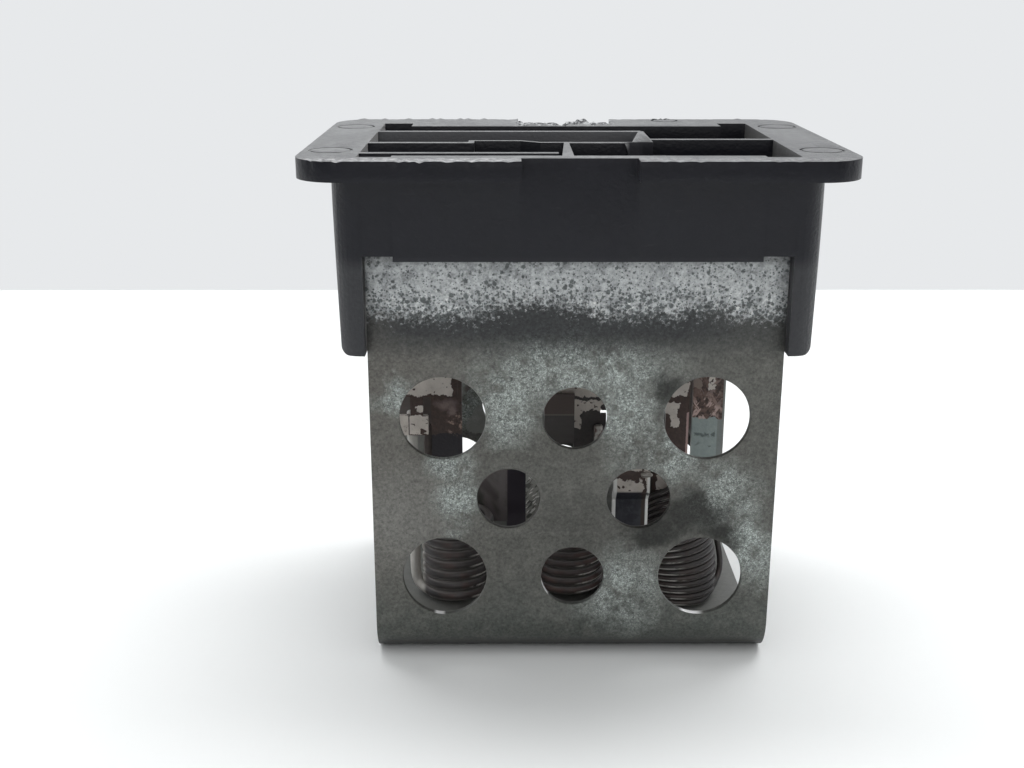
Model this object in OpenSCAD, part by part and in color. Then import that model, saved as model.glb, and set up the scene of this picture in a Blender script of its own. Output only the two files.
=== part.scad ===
// Blower motor resistor: a moulded socket head, a folded sheet heat shield under it, and inside
// the shield three wound resistor coils on their terminals, with a thermal fuse.
// The origin is at the middle of the underside, +Z is up and the socket opens upward.

/* [Heat shield] */
// Width of the folded sheet, left to right
shield_w = 47.4; // [46.9:0.1:52]
// Depth over the two plates, front to back
shield_d = 36.5; // [35.5:0.1:42]
// Height of the plates, up to their seat under the head
shield_h = 50.4; // [49:0.1:58]
// Thickness of the sheet
sheet_t = 0.8; // [0.5:0.05:1.2]
// Outer radius of the two folds
fold_r = 5; // [2:0.1:6]
// Diameter of the large vent holes
vent_big_d = 10; // [6:0.1:11.5]
// Diameter of the small vent holes
vent_small_d = 7.5; // [4:0.1:9]
// Distance between vent columns in a row of three
vent_pitch_x = 15.3; // [12:0.1:17]
// Distance between vent rows
vent_pitch_z = 10; // [9:0.1:12]
// Height of the lowest row of vents
vent_row_z = 11.1; // [10.5:0.1:13]
// Width of the locating tabs on the plates' upper edges
tab_w = 6; // [3:0.5:10]
// Height of the locating tabs
tab_h = 1.8; // [1:0.1:2]
// Distance of a locating tab from the middle
tab_x = 12; // [6:0.5:16]

/* [Head] */
// Clearance between the shield and the walls around it
shield_fit = 0.1; // [0.05:0.05:0.3]
// Thickness of the front and back walls
wall_t = 1.4; // [1:0.1:2]
// Thickness of the side skirts at their lower edge
skirt_t = 2.75; // [1.5:0.05:4]
// Length of the side skirts below the shield's seat
skirt_drop = 11.4; // [4:0.1:14]
// Overlap of the front and back walls over the plates
wall_lap = 0.6; // [0.2:0.1:4]
// Thickness of the socket's floor
floor_t = 2.6; // [2.2:0.1:4]
// Depth of the socket above its floor
socket_h = 8.13; // [7:0.01:12]
// Thickness of the flange
flange_t = 2.25; // [1.5:0.05:4]
// Corner radius of the flange
flange_r = 5; // [2:0.5:8]
// Overhang of the flange past the front and back walls
lip_front = 2.7; // [1.5:0.1:5]
// Overhang of the flange past the sides
lip_side = 3.7; // [2:0.1:6]
// Corner radius of the walls
wall_r = 3; // [1:0.5:5]
// Draft angle of the sides
draft = 1.75; // [0.5:0.05:3]
// Rounding of the skirts' lower outer edges
skirt_r = 1; // [0.4:0.1:1.4]
// Width of the notches in the front and back lips
lip_notch_w = 12.6; // [8:0.1:16]
// Clear width of the corner notches in the front and back walls
corner_notch_w = 3.4; // [2:0.1:5]
// Depth of the torn patch behind the back notch
tear_depth = 0.6; // [0.3:0.1:1.2]

/* [Socket] */
// Thickness of the socket's end walls above the skirts' inner faces
end_wall_step = 0.4; // [0:0.1:1]
// Thickness of the solid edge in front of the socket, past the wall
front_edge_t = 0.85; // [0.3:0.05:1.2]
// Thickness of the solid edge behind the socket, past the wall
rear_edge_t = 5.35; // [3:0.05:7]
// Width of the notches at the four corners of the socket
end_notch_w = 3.8; // [2:0.1:5]
// Depth of the front corner notches
end_notch_front = 1.2; // [0.5:0.1:1.3]
// Depth of the rear corner notches
end_notch_rear = 3.5; // [1:0.1:4]
// Thickness of the socket's ribs
rib_t = 1.2; // [0.8:0.1:1.4]
// Thickness of the socket's dividing walls
divider_t = 0.6; // [0.4:0.1:1]

/* [Terminals] */
// Thickness of the terminal strips
strip_t = 0.8; // [0.5:0.05:1]
// Width of the plug blades
blade_w = 6.3; // [4.8:0.1:6.6]
// Height of the blades' tips below the flange's top
blade_recess = 1.8; // [0.5:0.1:3]
// Width of the shoulders past the blade on each side
shoulder_side = 0.5; // [0.2:0.1:0.8]
// Height of the shoulders
shoulder_h = 2; // [1:0.1:4]
// Clearance of a blade in its slot
slot_fit = 0.05; // [0.02:0.01:0.15]
// Gap between a wire and the strip it is welded to
weld_gap = 0.05; // [0.02:0.01:0.1]
// Height of the lower edge of the common terminal's wide part
common_edge_z = 28.8; // [27.5:0.1:34]
// Height of the top of the common terminal's weld pad
pad_top_z = 26.2; // [25.8:0.1:27]
// Height of that weld pad
pad_h = 2.6; // [2:0.1:4]
// Height of the top of the left strip's wide foot
left_foot_top_z = 17.6; // [17:0.1:18.6]
// Height of the top of the middle strip's wide foot
middle_foot_top_z = 17.6; // [17:0.1:18.6]
// Height of the lower ends of those two feet
foot_end_z = 8.8; // [7.5:0.1:10]
// Height of the doubled strip's lower end
doubler_end_z = 20.4; // [19:0.1:23]
// Height of the doubled strip's upper end
doubler_top_z = 27.3; // [25:0.1:30]
// Height of the front leg's lower end
front_end_z = 12; // [11:0.1:14]
// Height at which the front leg leans forward
front_lean_z = 17.4; // [16:0.1:19]
// Distance by which the front leg leans forward
front_lean = 1.5; // [0.8:0.1:2]
// Height of the lower ends of the inner leg and the right strip
right_end_z = 17.6; // [17:0.1:19]
// Height of the lower end of the inner leg's foot
inner_foot_end_z = 13.4; // [12.5:0.1:15]

/* [Coils] */
// Wire diameter of the left coil
left_wire_d = 1.4; // [1:0.05:1.4]
// Outer diameter of the left coil
left_coil_d = 9.6; // [8.6:0.1:9.7]
// Distance between turns of the left coil
left_pitch = 1.46; // [1.45:0.01:1.6]
// Number of turns of the left coil
left_turns = 6; // [4:1:7]
// Wire diameter of the middle coil
middle_wire_d = 1.15; // [0.8:0.05:1.2]
// Outer diameter of the middle coil
middle_coil_d = 9.1; // [8.2:0.1:9.6]
// Distance between turns of the middle coil
middle_pitch = 1.25; // [1.24:0.01:1.4]
// Number of turns of the middle coil
middle_turns = 8; // [6:1:9]
// Wire diameter of the right coil
right_wire_d = 0.8; // [0.6:0.05:0.8]
// Outer diameter of the right coil
right_coil_d = 10.6; // [9.4:0.1:10.8]
// Distance between turns of the right coil
right_pitch = 0.87; // [0.86:0.01:1]
// Number of turns of the right coil
right_turns = 14; // [10:1:14]
// Angle by which the top of the right coil leans to the left
right_lean = 18; // [1:0.5:20]
// Space between the shield's floor and the coils
coil_lift = 0.3; // [0.2:0.1:1]

/* [Thermal fuse] */
// Diameter of the fuse's can
fuse_d = 4; // [3:0.1:4.5]
// Diameter of the fuse's leads
fuse_lead_d = 1; // [0.6:0.05:1.1]
// Bend radius of the leads, at the middle of the wire
fuse_bend_r = 1.2; // [0.8:0.1:1.4]
// Height of the fuse
fuse_z = 33; // [30:0.1:35.5]

/* [Hidden] */
$fn = 64;
eps = 0.02;
over = 1;

// Heights
seat_z = shield_h;
floor_top_z = seat_z + floor_t;
head_top_z = floor_top_z + socket_h;
flange_z = head_top_z - flange_t;
wall_z = seat_z - wall_lap;
skirt_z = seat_z - skirt_drop;

// Plan of the walls and the flange
shield_face = shield_d / 2;
wall_inner = shield_face + shield_fit;
wall_outer = wall_inner + wall_t;
skirt_inner = shield_w / 2 + shield_fit;
skirt_outer = skirt_inner + skirt_t;
side_outer = skirt_outer + (flange_z - skirt_z) * tan(draft);
flange_half_w = side_outer + lip_side;
flange_half_d = wall_outer + lip_front;
lip_notch_x = lip_notch_w / 2;
tear_half_x = lip_notch_x / 2;
tear_y = wall_outer - 2 * wall_t;

// Plan of the socket
socket_half_w = skirt_inner + end_wall_step;
socket_front = -(wall_inner - front_edge_t);
socket_rear = wall_inner - rear_edge_t;
end_notch_x = socket_half_w - end_notch_w;
front_rib_y = -15;
left_rib_y = -5.3;
right_rib_y = -1.9;
rear_rib_y = 7;
side_x = shield_w / 2;
front_rib_end = -2.1;
left_rib_l = 12;
left_rib_end = left_rib_l - side_x;
front_divider_x = -0.8;
divider_foot = 0.7;
divider_swell = 2.2;
left_rib_face = left_rib_y + rib_t / 2;
jog_t = 0.7;
jog_face = -3;
jog_end = -6.2;
jog_slant = 2.3;

// Shallow marks that the mould's ejector pins leave on the flange
ejector_big_d = 5;
ejector_small_d = 3.7;
ejector_groove_w = 0.3;
ejector_groove_h = 0.12;
ejector_out = 4;
ejector_x = side_x + ejector_out;
ejector_inset = 5.65;
ejector_y = shield_face - ejector_inset;
ejector_rear_x = 13.8;
ejector_rear_out = 0.85;
ejector_rear_y = wall_outer + ejector_rear_out;

// Planes of the strips, and where each strip stands; a side is the distance of its middle from
// the shield's edge
rear_plane = 4;
common_plane = -2.5;
front_plane = -8;
strip_half_t = strip_t / 2;
common_side = 6.1;
common_x = common_side - side_x;
common_w = 6.8;
common_leg_shift = 1.8;
common_leg_x = common_x - common_leg_shift;
common_leg_w = 1.6;
pad_shift = 2.5;
pad_x = common_x - pad_shift;
pad_w = 4.3;
left_side = 7.8;
left_x = left_side - side_x;
left_w = 4.1;
left_foot_reach = 8.1;
left_foot_x = left_x + left_foot_reach;
middle_left_x = -2.9;
middle_right_x = 5.4;
middle_blade_x = 1.25;
doubler_w = 4;
middle_foot_x = -5.3;
middle_bite_z = 24.2;
middle_bite_h = 0.6;
middle_bite_w = 0.8;
front_leg_x = 7.7;
front_leg_w = 4.5;
link_blade_x = 3.55;
inner_leg_side = 8.8;
inner_leg_x = side_x - inner_leg_side;
inner_leg_w = 3.1;
inner_foot_reach = 3;
inner_foot_x = inner_leg_x - inner_foot_reach;
right_side = 4.8;
right_x = side_x - right_side;
right_w = 4;
blade_tip = 0.8;
blade_top_z = head_top_z - blade_recess;
slot_w = blade_w + 2 * slot_fit;
slot_t = strip_t + 2 * slot_fit;
strip_clear = 0.3;
link_right_x = right_x - blade_w / 2 - shoulder_side - strip_clear;
right_divider_x = link_blade_x + blade_w / 2 + strip_clear + divider_swell;

// Where the coils stand; each coil's back touches the strip it is welded to
coil_base_z = sheet_t + coil_lift;
left_coil_shift = 1.5;
left_coil_x = left_x + left_coil_shift;
middle_coil_x = 0.6;
right_coil_x = inner_leg_x;
rear_face = rear_plane - strip_half_t;
coil_steps = 16;
wire_sides = 6;
bend_steps = 8;

// Angles at which the coils begin and end; two of them end at the back, against their feet
left_from = -145;
middle_from = 0;
right_from = 60;
coil_end = 90;
middle_end = 20;

// Lean of an upright coil, just over zero so that its axis still has a radius
upright = 0.01;

// How far a lead laps its strip, how wide its bends are, and where its lower bend starts
lead_over = 3;
lead_reach = 3;
lead_foot_z = 5;
middle_lead_z = 22.8;

function coil_radius(coil_d, wire_d) = (coil_d - wire_d) / 2;
function coil_y(coil_d, wire_d) = rear_face - weld_gap - wire_d / 2 - coil_radius(coil_d, wire_d);

// Lean a vector to the left by an angle
function leaned(v, lean) =
    [v[0] * cos(lean) - v[2] * sin(lean), v[1], v[0] * sin(lean) + v[2] * cos(lean)];

// One point of a coil whose axis starts upright and bends over to the left as it rises
function coil_point(r, hand, a, rise, height, lean) =
    let (bent = lean * rise / height, bend_r = height * 180 / (PI * lean))
    [-bend_r * (1 - cos(bent)), 0, bend_r * sin(bent)]
        + leaned([r * cos(hand * a), r * sin(hand * a), 0], bent);

// Direction of the coil's wire at an angle
function coil_dir(r, pitch, hand, a, lean) =
    leaned(unit([-sin(hand * a) * hand, cos(hand * a) * hand, pitch / (2 * PI * r)]), lean);

function unit(v) = v / norm(v);

// A smooth bend from one point and direction to another
function bend_point(a, b, c, d, t) =
    a * pow(1 - t, 3) + 3 * b * t * pow(1 - t, 2) + 3 * c * t * t * (1 - t) + d * pow(t, 3);
function bend(p, p_dir, q, q_dir, reach) =
    [for (i = [0 : bend_steps])
        bend_point(p, p + p_dir * reach, q - q_dir * reach, q, i / bend_steps)];
function inner_points(path) = [for (i = [1 : len(path) - 2]) path[i]];

// The turns of a coil, from its lower end to its upper end
function turns(foot, r, pitch, hand, from, to, lean) =
    let (count = ceil((to - from) * coil_steps / 360), step = (to - from) / count,
        height = pitch * (to - from) / 360)
    [for (i = [0 : count])
        foot + coil_point(r, hand, from + step * i, height * i / count, height, lean)];

// A round wire along a path, as rings joined by faces
function path_dir(path, i) =
    unit(path[min(i + 1, len(path) - 1)] - path[max(i - 1, 0)]);
function flatten_to(v, d) = unit(v - (v * d) * d);
function ring_sides(path, start) =
    [for (i = 0, v = flatten_to(start, path_dir(path, 0)); i < len(path);
        i = i + 1, v = flatten_to(v, path_dir(path, min(i, len(path) - 1)))) v];

module wire(path, d, start) {
    side = ring_sides(path, start);
    n = len(path);
    points = [for (i = [0 : n - 1]) for (k = [0 : wire_sides - 1])
        path[i] + d / 2 * (side[i] * cos(360 * k / wire_sides)
            + cross(path_dir(path, i), side[i]) * sin(360 * k / wire_sides))];
    walls = [for (i = [0 : n - 2]) for (k = [0 : wire_sides - 1]) for (half = [0, 1])
        let (a = i * wire_sides + k, b = i * wire_sides + (k + 1) % wire_sides)
        half == 0 ? [a, b + wire_sides, b] : [a, a + wire_sides, b + wire_sides]];
    first_cap = [[for (k = [0 : wire_sides - 1]) k]];
    last_cap = [[for (k = [0 : wire_sides - 1]) n * wire_sides - 1 - k]];
    polyhedron(points = points, faces = concat(walls, first_cap, last_cap));
}

module rounded_plan(half_w, half_d, r, h) {
    linear_extrude(height = h) {
        square([2 * half_w, 2 * (half_d - r)], center = true);
        square([2 * (half_w - r), 2 * half_d], center = true);
        for (x = [-1, 1], y = [-1, 1])
            translate([x * (half_w - r), y * (half_d - r)]) circle(r = r);
    }
}

// A flat strip in the plane across the part, given by its edges and its middle plane
module strip(x0, x1, z0, z1, plane) {
    translate([x0, plane - strip_half_t, z0]) cube([x1 - x0, strip_t, z1 - z0]);
}

module blade(x, plane) {
    half = blade_w / 2;
    strip(x - half - shoulder_side, x + half + shoulder_side, seat_z - shoulder_h, seat_z, plane);
    translate([x, plane + strip_half_t, 0]) rotate([90, 0, 0]) linear_extrude(height = strip_t)
        polygon([[-half, seat_z - eps], [half, seat_z - eps], [half, blade_top_z - blade_tip],
            [half - blade_tip, blade_top_z], [blade_tip - half, blade_top_z],
            [-half, blade_top_z - blade_tip]]);
}

module blade_slot(x, plane) {
    translate([x - slot_w / 2, plane - slot_t / 2, seat_z - over])
        cube([slot_w, slot_t, floor_t + 2 * over]);
}

// Outer form of the walls: upright corners rounded, sides drafted and rounded at the foot
module wall_form() {
    h = flange_z - skirt_z;
    intersection() {
        translate([0, 0, skirt_z]) rounded_plan(side_outer, wall_outer, wall_r, h + eps);
        translate([0, wall_outer + over, 0]) rotate([90, 0, 0])
            linear_extrude(height = 2 * (wall_outer + over)) {
            polygon([[-side_outer, flange_z + over], [side_outer, flange_z + over],
                [side_outer, flange_z], [skirt_outer, skirt_z + skirt_r],
                [skirt_outer - skirt_r, skirt_z + skirt_r], [skirt_outer - skirt_r, skirt_z],
                [skirt_r - skirt_outer, skirt_z], [skirt_r - skirt_outer, skirt_z + skirt_r],
                [-skirt_outer, skirt_z + skirt_r], [-side_outer, flange_z]]);
            for (s = [-1, 1])
                translate([s * (skirt_outer - skirt_r), skirt_z + skirt_r]) circle(r = skirt_r);
        }
    }
}

// Space under the socket's floor, between the skirts and the front and back walls
module shield_space() {
    translate([-skirt_inner, -wall_inner, skirt_z - over])
        cube([2 * skirt_inner, 2 * wall_inner, seat_z - skirt_z + over]);
    translate([-skirt_inner, -wall_outer - over, skirt_z - over])
        cube([2 * skirt_inner, 2 * (wall_outer + over), wall_z - skirt_z + over]);
    for (s = [-1, 1])
        translate([s * (skirt_inner - corner_notch_w / 2), 0, (wall_z + seat_z) / 2 - over])
            cube([corner_notch_w, 2 * (wall_outer + over), seat_z - wall_z + 2 * over],
                center = true);
}

module tab_pockets() {
    for (x = [-1, 1], y = [-1, 1])
        translate([x * tab_x, y * (shield_face - sheet_t / 2), seat_z + (tab_h + shield_fit) / 2])
            cube([tab_w + 2 * shield_fit, sheet_t + 2 * shield_fit, tab_h + shield_fit + eps],
                center = true);
}

module socket_space() {
    h = socket_h + over;
    translate([-socket_half_w, socket_front, floor_top_z])
        cube([2 * socket_half_w, socket_rear - socket_front, h]);
    for (s = [-1, 1])
        translate([s > 0 ? end_notch_x : -socket_half_w, socket_front - end_notch_front,
            floor_top_z])
            cube([end_notch_w, socket_rear - socket_front + end_notch_front + end_notch_rear, h]);
}

// A rib along the part, between two ends
module rib(x0, x1, y) {
    translate([x0, y - rib_t / 2, floor_top_z - eps]) cube([x1 - x0, rib_t, socket_h + eps]);
}

// Plan of the thin wall that steps back from the left rib and slants to the front divider
module jog_plan() {
    polygon([[left_rib_end - jog_t, left_rib_y], [left_rib_end, left_rib_y],
        [left_rib_end, jog_face - jog_t], [jog_end, jog_face - jog_t],
        [jog_end + jog_slant, left_rib_face - jog_t], [front_divider_x, left_rib_face - jog_t],
        [front_divider_x, left_rib_face], [jog_end + jog_slant, left_rib_face],
        [jog_end, jog_face], [left_rib_end - jog_t, jog_face]]);
}

module socket_ribs() {
    wall_x = socket_half_w + eps;
    rib(-wall_x, front_rib_end, front_rib_y);
    rib(-wall_x, left_rib_end, left_rib_y);
    rib(front_divider_x, right_divider_x, left_rib_y);
    rib(-wall_x, right_divider_x, rear_rib_y);
    rib(right_divider_x, wall_x, right_rib_y);
    translate([0, 0, floor_top_z - eps]) linear_extrude(height = socket_h + eps) {
        polygon([[front_divider_x - divider_t / 2, left_rib_y],
            [front_divider_x + divider_t / 2, left_rib_y],
            [front_divider_x + divider_t / 2, socket_front - eps],
            [front_divider_x - divider_t / 2 - divider_foot, socket_front - eps]]);
        polygon([[right_divider_x - divider_t / 2, rear_rib_y],
            [right_divider_x + divider_t / 2, rear_rib_y],
            [right_divider_x + divider_t / 2, socket_front - eps],
            [right_divider_x - divider_t / 2 - divider_foot, socket_front - eps],
            [right_divider_x - divider_swell, left_rib_face]]);
        jog_plan();
    }
}

module ejector_mark(x, y, d) {
    translate([x, y, head_top_z - ejector_groove_h]) difference() {
        cylinder(d = d, h = over);
        translate([0, 0, -over]) cylinder(d = d - 2 * ejector_groove_w, h = 3 * over);
    }
}

// The notches in the two lips, and the torn patch behind the back one
module lip_notches() {
    for (s = [-1, 1])
        translate([-lip_notch_x, s > 0 ? wall_outer : -flange_half_d - over, flange_z - over])
            cube([lip_notch_w, lip_front + over, flange_t + 2 * over]);
    translate([0, 0, head_top_z - tear_depth]) linear_extrude(height = over)
        polygon([[-lip_notch_x, wall_outer + eps], [-lip_notch_x, wall_inner],
            [-tear_half_x, tear_y], [0, tear_y], [tear_half_x, wall_inner],
            [lip_notch_x, wall_inner], [lip_notch_x, wall_outer + eps]]);
}

module head() {
    color("#26282b") difference() {
        union() {
            difference() {
                union() {
                    wall_form();
                    translate([0, 0, flange_z])
                        rounded_plan(flange_half_w, flange_half_d, flange_r, flange_t);
                }
                shield_space();
                socket_space();
            }
            socket_ribs();
        }
        lip_notches();
        tab_pockets();
        blade_slot(common_x, common_plane);
        blade_slot(left_x, rear_plane);
        blade_slot(middle_blade_x, rear_plane);
        blade_slot(link_blade_x, front_plane - front_lean);
        blade_slot(right_x, rear_plane);
        for (x = [-1, 1], y = [-1, 1])
            ejector_mark(x * ejector_x, y * ejector_y, ejector_big_d);
        ejector_mark(ejector_rear_x, ejector_rear_y, ejector_small_d);
    }
}

// Section of the folded sheet: a flat floor, two round folds and two upright plates
module shield_section(face, base, r) {
    translate([-face, base + r]) square([2 * face, seat_z - base - r + over]);
    translate([-face + r, base]) square([2 * (face - r), r + eps]);
    for (s = [-1, 1])
        translate([s * (face - r), base + r]) circle(r = r);
}

module vent(x, z, d) {
    translate([x, 0, z]) rotate([90, 0, 0]) cylinder(d = d, h = shield_d + 2 * over, center = true);
}

module vents() {
    for (c = [-1 : 1]) {
        vent(c * vent_pitch_x, vent_row_z, c == 0 ? vent_small_d : vent_big_d);
        vent(c * vent_pitch_x, vent_row_z + 2 * vent_pitch_z, c == 0 ? vent_small_d : vent_big_d);
    }
    for (s = [-1, 1])
        vent(s * vent_pitch_x / 2, vent_row_z + vent_pitch_z, vent_small_d);
}

module heat_shield() {
    color("#8b8f8c") union() {
        difference() {
            intersection() {
                rotate([90, 0, 90]) linear_extrude(height = shield_w, center = true)
                    difference() {
                        shield_section(shield_face, 0, fold_r);
                        shield_section(shield_face - sheet_t, sheet_t, fold_r - sheet_t);
                    }
                translate([0, 0, seat_z / 2])
                    cube([shield_w + over, shield_d + over, seat_z], center = true);
            }
            vents();
        }
        for (x = [-1, 1], y = [-1, 1])
            translate([x * tab_x, y * (shield_face - sheet_t / 2), seat_z + (tab_h - eps) / 2])
                cube([tab_w, sheet_t, tab_h + eps], center = true);
    }
}

module common_terminal() {
    color("#a59a8e") union() {
        blade(common_x, common_plane);
        strip(common_x - common_w / 2, common_x + common_w / 2, common_edge_z, seat_z,
            common_plane);
        strip(common_leg_x - common_leg_w / 2, common_leg_x + common_leg_w / 2, pad_top_z - eps,
            common_edge_z + eps, common_plane);
        strip(pad_x - pad_w / 2, pad_x + pad_w / 2, pad_top_z - pad_h, pad_top_z, common_plane);
    }
}

module left_terminal() {
    color("#4a3a35") union() {
        blade(left_x, rear_plane);
        strip(left_x - left_w / 2, left_x + left_w / 2, foot_end_z, seat_z, rear_plane);
        strip(left_x - left_w / 2, left_foot_x, foot_end_z, left_foot_top_z, rear_plane);
    }
}

module middle_terminal() {
    color("#8c8078") difference() {
        union() {
            blade(middle_blade_x, rear_plane);
            strip(middle_left_x, middle_right_x, doubler_end_z, seat_z, rear_plane);
            strip(middle_left_x + doubler_w, middle_right_x, foot_end_z, seat_z, rear_plane);
            strip(middle_foot_x, middle_right_x, foot_end_z, middle_foot_top_z, rear_plane);
            strip(middle_left_x, middle_left_x + doubler_w, doubler_end_z, doubler_top_z,
                rear_plane - strip_t);
        }
        translate([middle_right_x - middle_bite_w, rear_plane - over, middle_bite_z])
            cube([2 * middle_bite_w, 2 * over, middle_bite_h]);
    }
}

// Two legs joined under the socket's floor: the front one leans, the inner one is straight and
// narrow at its top, clear of the right terminal's shoulder
module link_terminal() {
    front_left = front_leg_x - front_leg_w / 2;
    front_right = front_leg_x + front_leg_w / 2;
    inner_left = inner_leg_x - inner_leg_w / 2;
    lean_plane = front_plane - front_lean;
    color("#8f867d") union() {
        blade(link_blade_x, lean_plane);
        strip(link_blade_x - blade_w / 2, link_right_x, seat_z - shoulder_h, seat_z, lean_plane);
        translate([front_left, 0, 0]) rotate([90, 0, 90]) linear_extrude(height = front_leg_w)
            polygon([[front_plane - strip_half_t, front_end_z],
                [front_plane + strip_half_t, front_end_z],
                [front_plane + strip_half_t, front_lean_z],
                [lean_plane + strip_half_t, front_lean_z + front_lean],
                [lean_plane + strip_half_t, seat_z], [lean_plane - strip_half_t, seat_z],
                [lean_plane - strip_half_t, front_lean_z + front_lean - strip_half_t],
                [front_plane - strip_half_t, front_lean_z - strip_half_t]]);
        translate([front_right, lean_plane - strip_half_t, seat_z - strip_t])
            cube([link_right_x - front_right, rear_plane - lean_plane + strip_t, strip_t]);
        strip(inner_left, link_right_x, right_end_z, seat_z, rear_plane);
        strip(inner_left, inner_left + inner_leg_w, inner_foot_end_z,
            seat_z - shoulder_h - strip_clear, rear_plane);
        strip(inner_foot_x, inner_left + inner_leg_w, inner_foot_end_z, right_end_z, rear_plane);
    }
}

module right_terminal() {
    color("#6c7777") union() {
        blade(right_x, rear_plane);
        strip(right_x - right_w / 2, right_x + right_w / 2, right_end_z, seat_z, rear_plane);
    }
}

module left_coil() {
    r = coil_radius(left_coil_d, left_wire_d);
    foot = [left_coil_x, coil_y(left_coil_d, left_wire_d), coil_base_z + left_wire_d / 2];
    to = 360 * left_turns + coil_end;
    body = turns(foot, r, left_pitch, 1, left_from, to, upright);
    top = body[len(body) - 1];
    lead_y = common_plane + strip_half_t + weld_gap + left_wire_d / 2;
    rise = [left_x, top[1], top[2] + lead_reach];
    color("#3b3230") wire(concat([[pad_x, lead_y, pad_top_z]],
        bend([pad_x, lead_y, lead_foot_z], [0, 0, -1], body[0],
            coil_dir(r, left_pitch, 1, left_from, 0), lead_reach),
        inner_points(body),
        bend(top, coil_dir(r, left_pitch, 1, to, 0), rise, [0, 0, 1], lead_reach / 2),
        [rise + [0, 0, lead_over / 2]]), left_wire_d, [0, 1, 0]);
}

module middle_coil() {
    r = coil_radius(middle_coil_d, middle_wire_d);
    foot = [middle_coil_x, coil_y(middle_coil_d, middle_wire_d), coil_base_z + middle_wire_d / 2];
    to = 360 * middle_turns + middle_end;
    body = turns(foot, r, middle_pitch, 1, middle_from, to, upright);
    top = body[len(body) - 1];
    lead_x = front_leg_x - front_leg_w / 4;
    lead_y = front_plane + strip_half_t + weld_gap + middle_wire_d / 2;
    rise = [top[0], rear_face - weld_gap - middle_wire_d / 2, top[2] + lead_reach];
    color("#3b3230") wire(concat([[lead_x, lead_y, front_end_z + lead_over]],
        bend([lead_x, lead_y, lead_foot_z], [0, 0, -1], body[0],
            coil_dir(r, middle_pitch, 1, middle_from, 0), lead_reach),
        inner_points(body),
        bend(top, coil_dir(r, middle_pitch, 1, to, 0), rise, [0, 0, 1], lead_reach / 2),
        [[rise[0], rise[1], middle_lead_z]]), middle_wire_d, [0, 1, 0]);
}

module right_coil() {
    r = coil_radius(right_coil_d, right_wire_d);
    foot = [right_coil_x, coil_y(right_coil_d, right_wire_d), coil_base_z + right_wire_d / 2];
    to = 360 * right_turns - coil_end;
    body = turns(foot, r, right_pitch, -1, right_from, to, right_lean);
    top = body[len(body) - 1];
    lead_y = rear_plane + strip_half_t + weld_gap + right_wire_d / 2;
    lead_foot = [right_coil_x + (right_coil_d + right_wire_d) / 2 + weld_gap, foot[1],
        lead_foot_z];
    rise = [inner_leg_x, top[1], top[2] + lead_reach];
    color("#3b3230") wire(concat([[right_x, lead_y, right_end_z + lead_over]],
        bend([right_x, lead_y, right_end_z - lead_over / 2], [0, 0, -1],
            lead_foot, [0, 0, -1], lead_reach),
        bend(lead_foot - [0, 0, over / 2], [0, 0, -1], body[0],
            coil_dir(r, right_pitch, -1, right_from, 0), lead_reach / 2),
        inner_points(body),
        bend(top, coil_dir(r, right_pitch, -1, to, right_lean), rise, [0, 0, 1],
            lead_reach / 2),
        [rise + [0, 0, lead_over / 2]]), right_wire_d, [0, 1, 0]);
}

// The fuse lies behind the strips, its leads bent forward to their back faces
module thermal_fuse() {
    back_face = rear_plane + strip_half_t + weld_gap;
    fuse_y = back_face + fuse_d / 2 + fuse_bend_r;
    left_end = left_x + left_w / 4;
    right_end = middle_left_x + doubler_w / 4;
    can_l = right_end - left_end - 4 * fuse_bend_r;
    color("#8d8a80") union() {
        translate([(left_end + right_end) / 2, fuse_y, fuse_z]) rotate([0, 90, 0])
            cylinder(d = fuse_d, h = can_l, center = true);
        translate([(left_end + right_end) / 2, fuse_y, fuse_z]) rotate([0, 90, 0])
            cylinder(d = fuse_lead_d, h = right_end - left_end - 2 * fuse_bend_r, center = true);
        for (s = [-1, 1]) {
            x = s < 0 ? left_end : right_end;
            translate([x - s * fuse_bend_r, fuse_y - fuse_bend_r, fuse_z])
                rotate([0, 0, s < 0 ? 90 : 0])
                rotate_extrude(angle = 90) translate([fuse_bend_r, 0]) circle(d = fuse_lead_d);
            translate([x, back_face, fuse_z]) rotate([-90, 0, 0])
                cylinder(d = fuse_lead_d, h = fuse_y - fuse_bend_r - back_face);
        }
    }
}

head();
heat_shield();
common_terminal();
left_terminal();
middle_terminal();
link_terminal();
right_terminal();
left_coil();
middle_coil();
right_coil();
thermal_fuse();
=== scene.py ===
# Blower motor resistor: the looks of the part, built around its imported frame.
# Lengths in this script are millimetres until a mesh is made.
import math

import bmesh
import bpy
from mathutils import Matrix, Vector, noise


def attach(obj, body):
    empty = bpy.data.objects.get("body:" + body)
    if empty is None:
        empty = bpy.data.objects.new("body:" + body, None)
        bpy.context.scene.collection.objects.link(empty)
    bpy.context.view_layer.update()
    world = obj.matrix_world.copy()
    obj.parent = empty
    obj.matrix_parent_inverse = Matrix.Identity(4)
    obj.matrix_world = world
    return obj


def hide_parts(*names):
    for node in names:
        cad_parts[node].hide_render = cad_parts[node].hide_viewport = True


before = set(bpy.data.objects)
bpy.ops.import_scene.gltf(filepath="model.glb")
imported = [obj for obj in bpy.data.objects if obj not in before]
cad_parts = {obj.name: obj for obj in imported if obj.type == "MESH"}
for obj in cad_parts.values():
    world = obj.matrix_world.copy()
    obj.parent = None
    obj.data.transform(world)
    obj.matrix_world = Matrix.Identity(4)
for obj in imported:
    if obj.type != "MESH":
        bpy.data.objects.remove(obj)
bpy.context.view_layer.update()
MM = 0.001


# Camera: its place, turn and lens were fitted to the photograph

LENS = 44.7626
CAMERA_PLACE = (-7.8064, -157.3562, 78.7236)
CAMERA_TURN = (72.66133, -0.03549, -0.21169)


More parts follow.
